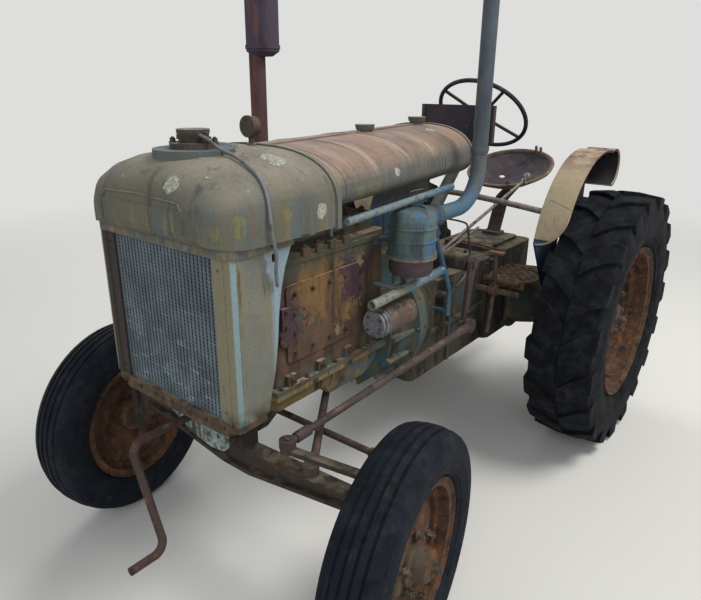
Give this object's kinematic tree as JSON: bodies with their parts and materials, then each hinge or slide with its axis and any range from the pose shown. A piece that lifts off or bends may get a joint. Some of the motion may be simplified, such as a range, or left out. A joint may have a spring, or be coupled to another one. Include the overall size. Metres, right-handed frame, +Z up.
{
  "type": "vintage tractor",
  "caption": "Old standard farm and forestry tractor with an open engine, rounded nose, lugged rear tyres, fenders, pan seat and steered front axle.",
  "frame": {"origin": "middle of the bounding box on the ground", "axes": "-Y forward, +X the tractor's left side, +Z up"},
  "size_m": [1.474, 2.68, 2.08],
  "materials": {
    "core_metal": "dull, dented",
    "hood_paint": "old paint worn to rust and bare metal",
    "side_panel_paint": "old paint, rusted",
    "engine_iron": "oily, rusted",
    "manifold_iron": "burnt, rusted",
    "starter_steel": "dull, oily",
    "exhaust_steel": "burnt paint, rusted",
    "cleaner_paint": "old blue paint, worn",
    "stack_paint": "old paint, matte",
    "pipe_steel": "tinted by the sky",
    "housing_iron": "oily, dark",
    "axle_iron": "dull, dark",
    "worn_steel": "rusted",
    "rod_steel": "rusted, dull",
    "lever_steel": "worn bright",
    "handle_steel": "worn, rusted",
    "plate_paint": "pale old paint, chipped",
    "plum_paint": "dark, dull",
    "seat_paint": "worn at the rim",
    "fender_paint": "sun-bleached, rusted",
    "wheel_plastic": "worn",
    "tyre_rubber": "worn, dusty",
    "rim_paint": "rusted"
  },
  "bodies": {
    "chassis": {"radiator_core": "core_metal", "radiator_top_tank": "hood_paint", "radiator_bottom_tank": "engine_iron", "radiator_side_plates": "side_panel_paint", "filler_cap": "worn_steel", "temperature_gauge": "worn_steel", "fuel_tank": "hood_paint", "engine_block": "engine_iron", "crankcase_sump": "engine_iron", "starter_motor": "starter_steel", "exhaust_manifold": "manifold_iron", "exhaust_stack": "exhaust_steel", "air_cleaner": "cleaner_paint", "intake_stack": "stack_paint", "engine_pipes": "pipe_steel", "cooling_fan": "worn_steel", "clutch_housing": "engine_iron", "gearbox_housing": "housing_iron", "rear_axle_housing": "housing_iron", "drawbar": "worn_steel", "steering_column": "housing_iron", "dash_panel": "plum_paint", "front_axle": "axle_iron", "front_plate": "plate_paint", "radius_rod": "rod_steel", "fenders": "fender_paint", "seat": "seat_paint", "seat_spring": "rod_steel", "footplates": "worn_steel", "control_levers": "lever_steel", "starting_handle": "handle_steel"},
    "knuckle_left": {"knuckle_left": "axle_iron"},
    "knuckle_right": {"knuckle_right": "axle_iron"},
    "tie_rod": {"tie_rod": "rod_steel"},
    "drag_link": {"drag_link": "rod_steel"},
    "drop_arm": {"drop_arm": "rod_steel"},
    "steering_wheel": {"steering_wheel": "wheel_plastic"},
    "front_wheel_left": {"front_tyre_left": "tyre_rubber", "front_rim_left": "rim_paint"},
    "front_wheel_right": {"front_tyre_right": "tyre_rubber", "front_rim_right": "rim_paint"},
    "rear_wheel_left": {"rear_tyre_left": "tyre_rubber", "rear_rim_left": "rim_paint"},
    "rear_wheel_right": {"rear_tyre_right": "tyre_rubber", "rear_rim_right": "rim_paint"}
  },
  "joints": [
    {"name": "steering", "type": "hinge", "parent": "chassis", "child": "knuckle_left", "pos_m": [0.48, -0.87, 0.456], "axis": [0, 0, 1], "range_deg": [-37, 19]},
    {"name": "knuckle_right_steer", "type": "hinge", "parent": "chassis", "child": "knuckle_right", "pos_m": [-0.48, -0.87, 0.456], "axis": [0, 0, 1], "range_deg": [-37, 19]},
    {"name": "tie_rod_pivot", "type": "hinge", "parent": "knuckle_left", "child": "tie_rod", "pos_m": [0.44871, -0.67246, 0.47], "axis": [0, 0, 1], "range_deg": [-19, 37]},
    {"name": "drag_link_pivot", "type": "hinge", "parent": "knuckle_left", "child": "drag_link", "pos_m": [0.24296, -0.90754, 0.572], "axis": [0, 0, 1], "range_deg": [-19, 37]},
    {"name": "drop_arm_shaft", "type": "hinge", "parent": "chassis", "child": "drop_arm", "pos_m": [0.252, 0.102, 0.869], "axis": [-1, 0, 0], "range_deg": [-37, 19]},
    {"name": "steering_wheel_turn", "type": "hinge", "parent": "chassis", "child": "steering_wheel", "pos_m": [0, 0.60687, 1.39187], "axis": [0, 0.7071, 0.7071], "range_deg": [-444, 228]},
    {"name": "front_wheel_left_roll", "type": "hinge", "parent": "knuckle_left", "child": "front_wheel_left", "pos_m": [0.59852, -0.85123, 0.35], "axis": [0.9877, 0.1564, 0], "continuous": true},
    {"name": "front_wheel_right_roll", "type": "hinge", "parent": "knuckle_right", "child": "front_wheel_right", "pos_m": [-0.59852, -0.88877, 0.35], "axis": [0.9877, 0.1564, 0], "continuous": true},
    {"name": "rear_wheel_left_roll", "type": "hinge", "parent": "chassis", "child": "rear_wheel_left", "pos_m": [0.6, 0.73, 0.55], "axis": [1, 0, 0], "continuous": true},
    {"name": "rear_wheel_right_roll", "type": "hinge", "parent": "chassis", "child": "rear_wheel_right", "pos_m": [-0.6, 0.73, 0.55], "axis": [1, 0, 0], "continuous": true}
  ],
  "couplings": [
    {"joint": "knuckle_right_steer", "follows": "steering", "ratio": 1},
    {"joint": "tie_rod_pivot", "follows": "steering", "ratio": -1},
    {"joint": "drag_link_pivot", "follows": "steering", "ratio": -1},
    {"joint": "drop_arm_shaft", "follows": "steering", "ratio": 1},
    {"joint": "steering_wheel_turn", "follows": "steering", "ratio": 12}
  ]
}
